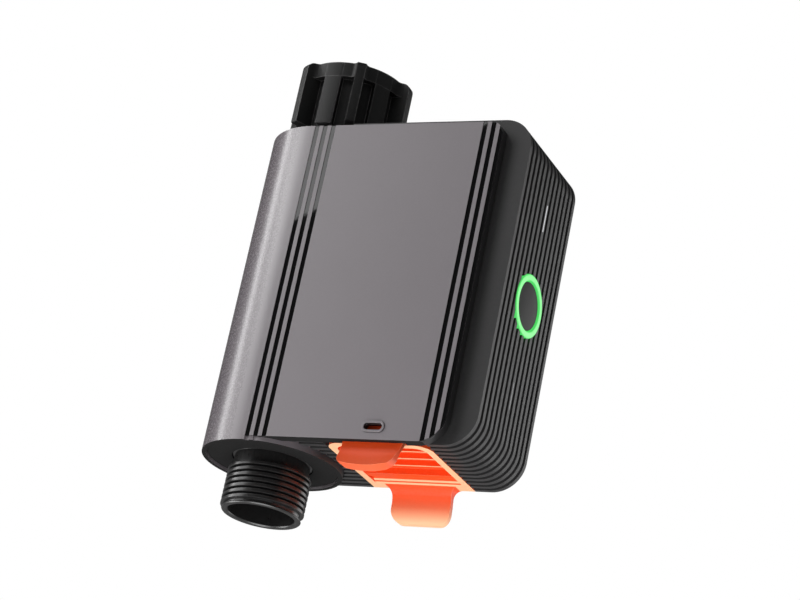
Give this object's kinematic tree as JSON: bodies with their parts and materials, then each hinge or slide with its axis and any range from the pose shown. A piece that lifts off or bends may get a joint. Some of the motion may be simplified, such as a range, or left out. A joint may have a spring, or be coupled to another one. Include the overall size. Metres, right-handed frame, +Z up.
{
  "type": "smart water valve",
  "caption": "Battery powered tap valve: ribbed box beside an upright column with a winged swivel inlet nut, threaded outlet, lit push button and a pull-out orange battery cartridge.",
  "frame": {"origin": "on the pipe axis, in the outlet's bore, level with the lower rim of the column", "axes": "+Z up the pipe axis from the outlet to the inlet, -Y towards the front plate, +X towards the button"},
  "size_m": [0.0994, 0.047, 0.1517],
  "materials": {
    "front_shell": "fine satin",
    "trim_strips": "polished",
    "window_bezel": "satin",
    "rear_housing": "satin",
    "back_cover": "satin",
    "cover_gasket": "matt",
    "cover_screws": "turned",
    "base_ring": "satin",
    "valve_body": "satin",
    "outlet_body": "satin",
    "pipe_seal": "matt",
    "inlet_tail": "satin",
    "inlet_nut": "satin",
    "inlet_washer": "matt",
    "inlet_screen": "etched",
    "ball": "polished",
    "seat_rings": "waxy",
    "stem": "turned",
    "stem_seals": "matt",
    "output_gear": "satin",
    "compound_gear": "satin",
    "gear_axle": "ground",
    "motor_pinion": "turned",
    "motor": "plated",
    "gear_frame": "satin",
    "turbine": "satin",
    "turbine_axle": "ground",
    "turbine_cages": "satin",
    "flow_sensor": "lacquered",
    "main_board": "lacquered",
    "board_screws": "turned",
    "radio_module": "tinned",
    "push_switch": "matt",
    "status_lights": "clear",
    "light_ring": "lit",
    "light_bars": "lit",
    "button_cap": "satin",
    "battery_tray": "satin",
    "battery_cells": "printed sleeve",
    "contact_strips": "plated",
    "bay_contacts": "plated",
    "battery_cap": "satin",
    "cap_seal": "matt",
    "latch": "satin",
    "latch_pin": "ground"
  },
  "bodies": {
    "case": {"front_shell": "front_shell", "trim_strips": "trim_strips", "window_bezel": "window_bezel", "rear_housing": "rear_housing", "back_cover": "back_cover", "cover_gasket": "cover_gasket", "cover_screws": "cover_screws", "base_ring": "base_ring", "valve_body": "valve_body", "outlet_body": "outlet_body", "pipe_seal": "pipe_seal", "inlet_tail": "inlet_tail", "inlet_washer": "inlet_washer", "inlet_screen": "inlet_screen", "seat_rings": "seat_rings", "gear_axle": "gear_axle", "motor": "motor", "gear_frame": "gear_frame", "turbine_axle": "turbine_axle", "turbine_cages": "turbine_cages", "flow_sensor": "flow_sensor", "main_board": "main_board", "board_screws": "board_screws", "radio_module": "radio_module", "push_switch": "push_switch", "status_lights": "status_lights", "light_ring": "light_ring", "light_bars": "light_bars", "bay_contacts": "bay_contacts"},
    "nut": {"inlet_nut": "inlet_nut"},
    "ball_unit": {"ball": "ball", "stem": "stem", "stem_seals": "stem_seals", "output_gear": "output_gear"},
    "idler": {"compound_gear": "compound_gear"},
    "rotor": {"motor_pinion": "motor_pinion"},
    "meter": {"turbine": "turbine"},
    "button": {"button_cap": "button_cap"},
    "cartridge": {"battery_tray": "battery_tray", "battery_cells": "battery_cells", "contact_strips": "contact_strips", "battery_cap": "battery_cap", "cap_seal": "cap_seal", "latch_pin": "latch_pin"},
    "latch_arm": {"latch": "latch"}
  },
  "joints": [
    {"name": "nut_swivel", "type": "hinge", "parent": "case", "child": "nut", "pos_m": [0, 0, 0.1155], "axis": [0, 0, 1], "continuous": true},
    {"name": "valve_turn", "type": "hinge", "parent": "case", "child": "ball_unit", "pos_m": [0.016, 0, 0.091], "axis": [1, 0, 0], "range_deg": [0, 90]},
    {"name": "idler_turn", "type": "hinge", "parent": "case", "child": "idler", "pos_m": [0.0309, 0.006, 0.0766], "axis": [1, 0, 0], "range_deg": [-300, 0]},
    {"name": "motor_turn", "type": "hinge", "parent": "case", "child": "rotor", "pos_m": [0.0347, -0.0066, 0.08053], "axis": [1, 0, 0], "range_deg": [0, 800]},
    {"name": "turbine_spin", "type": "hinge", "parent": "case", "child": "meter", "pos_m": [0, 0, 0.028], "axis": [0, 0, 1], "continuous": true},
    {"name": "button_press", "type": "slide", "parent": "case", "child": "button", "axis": [-1, 0, 0], "range_m": [0, 0.0008], "stiffness_N_per_m": 500},
    {"name": "cartridge_slide", "type": "slide", "parent": "case", "child": "cartridge", "axis": [0, 0, -1], "range_m": [0, 0.062]},
    {"name": "latch_squeeze", "type": "hinge", "parent": "cartridge", "child": "latch_arm", "pos_m": [0.0444, -0.0173, 0.014], "axis": [1, 0, 0], "range_deg": [0, 4], "stiffness_Nm_per_rad": 0.3}
  ],
  "couplings": [
    {"joint": "idler_turn", "follows": "valve_turn", "ratio": -3.3333},
    {"joint": "motor_turn", "follows": "valve_turn", "ratio": 8.8889}
  ]
}
